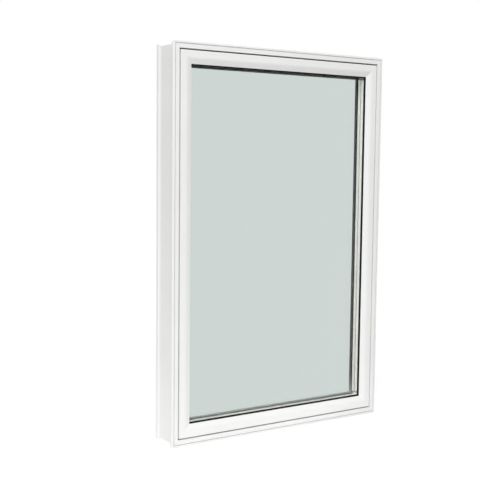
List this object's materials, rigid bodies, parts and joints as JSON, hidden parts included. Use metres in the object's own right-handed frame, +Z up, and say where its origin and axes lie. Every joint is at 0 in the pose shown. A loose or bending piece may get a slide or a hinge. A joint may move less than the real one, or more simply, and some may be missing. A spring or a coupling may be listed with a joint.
{
  "type": "fixed picture window",
  "caption": "White vinyl fixed picture window: a mitred frame and fixed sash hold a sealed, clear glass unit between black gaskets.",
  "frame": {"origin": "middle of the footprint, on the level of the rim's underside", "axes": "+Z up, -Y out of the outdoor face, +X to the right seen from outdoors"},
  "size_m": [0.6096, 0.0826, 0.9144],
  "materials": {
    "white_vinyl": "satin extruded PVC",
    "black_gasket": "matt",
    "clear_glass": "clear",
    "spacer_metal": "satin mill",
    "edge_sealant": "matt",
    "block_rubber": "matt"
  },
  "bodies": {
    "root": {"frame_head": "white_vinyl", "frame_sill": "white_vinyl", "frame_left_jamb": "white_vinyl", "frame_right_jamb": "white_vinyl", "sash_top_rail": "white_vinyl", "sash_bottom_rail": "white_vinyl", "sash_left_stile": "white_vinyl", "sash_right_stile": "white_vinyl", "glazing_bead_bottom": "white_vinyl", "glazing_bead_left": "white_vinyl", "glazing_bead_top": "white_vinyl", "glazing_bead_right": "white_vinyl", "reveal_seal_bottom": "black_gasket", "reveal_seal_left": "black_gasket", "reveal_seal_top": "black_gasket", "reveal_seal_right": "black_gasket", "outer_gasket_bottom": "black_gasket", "outer_gasket_left": "black_gasket", "outer_gasket_top": "black_gasket", "outer_gasket_right": "black_gasket", "inner_gasket_bottom": "black_gasket", "inner_gasket_left": "black_gasket", "inner_gasket_top": "black_gasket", "inner_gasket_right": "black_gasket", "outer_pane": "clear_glass", "middle_pane": "clear_glass", "inner_pane": "clear_glass", "outer_spacer": "spacer_metal", "inner_spacer": "spacer_metal", "outer_edge_seal": "edge_sealant", "inner_edge_seal": "edge_sealant", "setting_block_left": "block_rubber", "setting_block_right": "block_rubber"}
  },
  "joints": []
}
